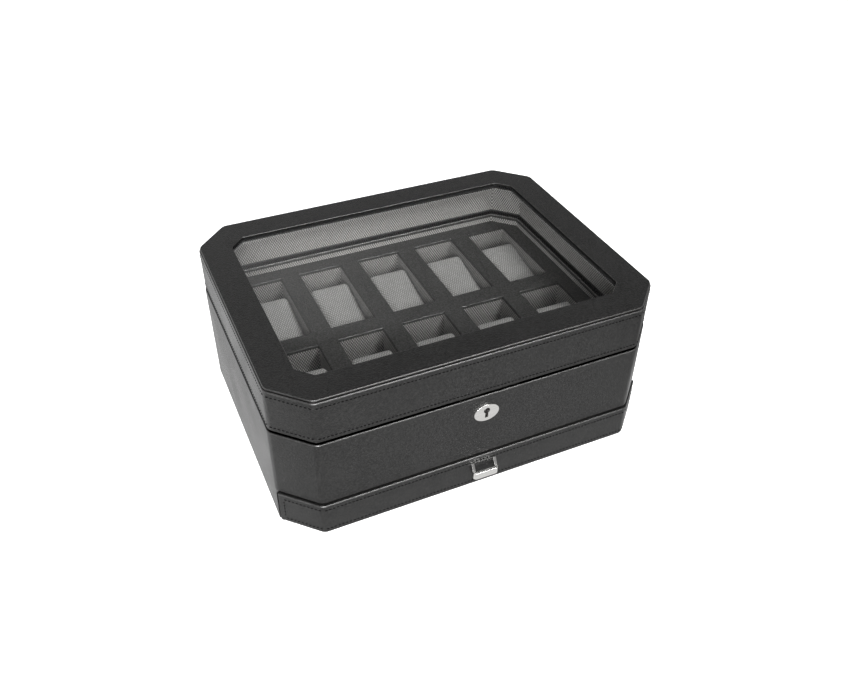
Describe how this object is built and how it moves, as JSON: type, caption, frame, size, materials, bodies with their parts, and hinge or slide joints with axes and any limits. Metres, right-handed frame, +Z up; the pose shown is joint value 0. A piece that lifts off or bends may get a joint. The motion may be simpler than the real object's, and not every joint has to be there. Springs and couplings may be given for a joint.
{
  "type": "watch box",
  "caption": "Leather-covered watch box with chamfered corners, a hinged glazed lid over cushioned wells, a key lock and a drawer across its foot.",
  "frame": {"origin": "middle of the box's footprint, on the table", "axes": "+X to the right along the front, +Y to the hinges at the back, +Z up"},
  "size_m": [0.34, 0.2782, 0.141],
  "materials": {
    "leather": "smooth black leather with soft sheen, turned and stitched edges",
    "lining_fabric": "grey woven lining",
    "cushion_fabric": "grey woven cover on a foam cushion",
    "glass": "clear, flat",
    "nickel": "satin nickel",
    "lock_steel": "plain zinc-plated steel",
    "runner_strip": "smooth low-friction strip",
    "board": "fibreboard, unfinished",
    "painted_board": "fibreboard painted matt black",
    "felt": "black felt"
  },
  "bodies": {
    "base": {"bottom_felt": "felt", "bottom_board": "painted_board", "side_walls": "painted_board", "back_wall": "painted_board", "front_panel": "board", "corner_posts": "painted_board", "shelf_board": "painted_board", "body_leather": "leather", "rim_liner": "lining_fabric", "tray_leather": "leather", "tray_rails": "board", "row_divider": "board", "cross_dividers": "board", "well_liners": "lining_fabric", "drawer_runners": "runner_strip", "drawer_stop": "painted_board", "lock_case": "lock_steel", "lock_faceplate": "nickel", "lock_screws": "nickel", "escutcheon": "nickel", "hinge_body_leaves": "nickel", "hinge_body_screws": "nickel", "hinge_pins": "nickel"},
    "lid": {"lid_side_walls": "board", "lid_front_wall": "board", "lid_back_wall": "board", "lid_corner_posts": "board", "lid_leather": "leather", "lid_hem": "leather", "lid_liner": "lining_fabric", "top_board": "board", "top_leather": "leather", "glass_pane": "glass", "glass_frame": "lining_fabric", "hinge_lid_leaves": "nickel", "hinge_lid_screws": "nickel", "striker": "nickel", "striker_screws": "nickel"},
    "drawer": {"drawer_front_board": "painted_board", "drawer_front_leather": "leather", "drawer_sides": "painted_board", "drawer_back": "painted_board", "drawer_bottom": "painted_board", "drawer_lining": "lining_fabric", "drawer_dividers": "lining_fabric", "drawer_pull": "nickel", "pull_nuts": "nickel"},
    "lock_cam": {"lock_cam": "lock_steel"},
    "lock_bolt": {"lock_bolt": "lock_steel"},
    "cushion_back_1": {"cushion_back_1": "cushion_fabric"},
    "cushion_back_2": {"cushion_back_2": "cushion_fabric"},
    "cushion_back_3": {"cushion_back_3": "cushion_fabric"},
    "cushion_back_4": {"cushion_back_4": "cushion_fabric"},
    "cushion_back_5": {"cushion_back_5": "cushion_fabric"},
    "cushion_front_1": {"cushion_front_1": "cushion_fabric"},
    "cushion_front_2": {"cushion_front_2": "cushion_fabric"},
    "cushion_front_3": {"cushion_front_3": "cushion_fabric"},
    "cushion_front_4": {"cushion_front_4": "cushion_fabric"},
    "cushion_front_5": {"cushion_front_5": "cushion_fabric"}
  },
  "joints": [
    {"name": "lid_hinge", "type": "hinge", "parent": "base", "child": "lid", "pos_m": [0, 0.135, 0.0987], "axis": [-1, 0, 0], "range_deg": [0, 100]},
    {"name": "drawer_slide", "type": "slide", "parent": "base", "child": "drawer", "axis": [0, -1, 0], "range_m": [0, 0.19]},
    {"name": "lock_turn", "type": "hinge", "parent": "base", "child": "lock_cam", "pos_m": [0, -0.1277, 0.0819], "axis": [0, 1, 0], "range_deg": [0, 90]},
    {"name": "bolt_slide", "type": "slide", "parent": "base", "child": "lock_bolt", "axis": [1, 0, 0], "range_m": [0, 0.00707]},
    {"name": "lift_back_1", "type": "slide", "parent": "base", "child": "cushion_back_1", "axis": [0, 0, 1], "range_m": [0, 0.04]},
    {"name": "lift_back_2", "type": "slide", "parent": "base", "child": "cushion_back_2", "axis": [0, 0, 1], "range_m": [0, 0.04]},
    {"name": "lift_back_3", "type": "slide", "parent": "base", "child": "cushion_back_3", "axis": [0, 0, 1], "range_m": [0, 0.04]},
    {"name": "lift_back_4", "type": "slide", "parent": "base", "child": "cushion_back_4", "axis": [0, 0, 1], "range_m": [0, 0.04]},
    {"name": "lift_back_5", "type": "slide", "parent": "base", "child": "cushion_back_5", "axis": [0, 0, 1], "range_m": [0, 0.04]},
    {"name": "lift_front_1", "type": "slide", "parent": "base", "child": "cushion_front_1", "axis": [0, 0, 1], "range_m": [0, 0.04]},
    {"name": "lift_front_2", "type": "slide", "parent": "base", "child": "cushion_front_2", "axis": [0, 0, 1], "range_m": [0, 0.04]},
    {"name": "lift_front_3", "type": "slide", "parent": "base", "child": "cushion_front_3", "axis": [0, 0, 1], "range_m": [0, 0.04]},
    {"name": "lift_front_4", "type": "slide", "parent": "base", "child": "cushion_front_4", "axis": [0, 0, 1], "range_m": [0, 0.04]},
    {"name": "lift_front_5", "type": "slide", "parent": "base", "child": "cushion_front_5", "axis": [0, 0, 1], "range_m": [0, 0.04]}
  ],
  "couplings": [
    {"joint": "lock_turn", "follows": "bolt_slide", "rad_per_m": 222.14}
  ]
}
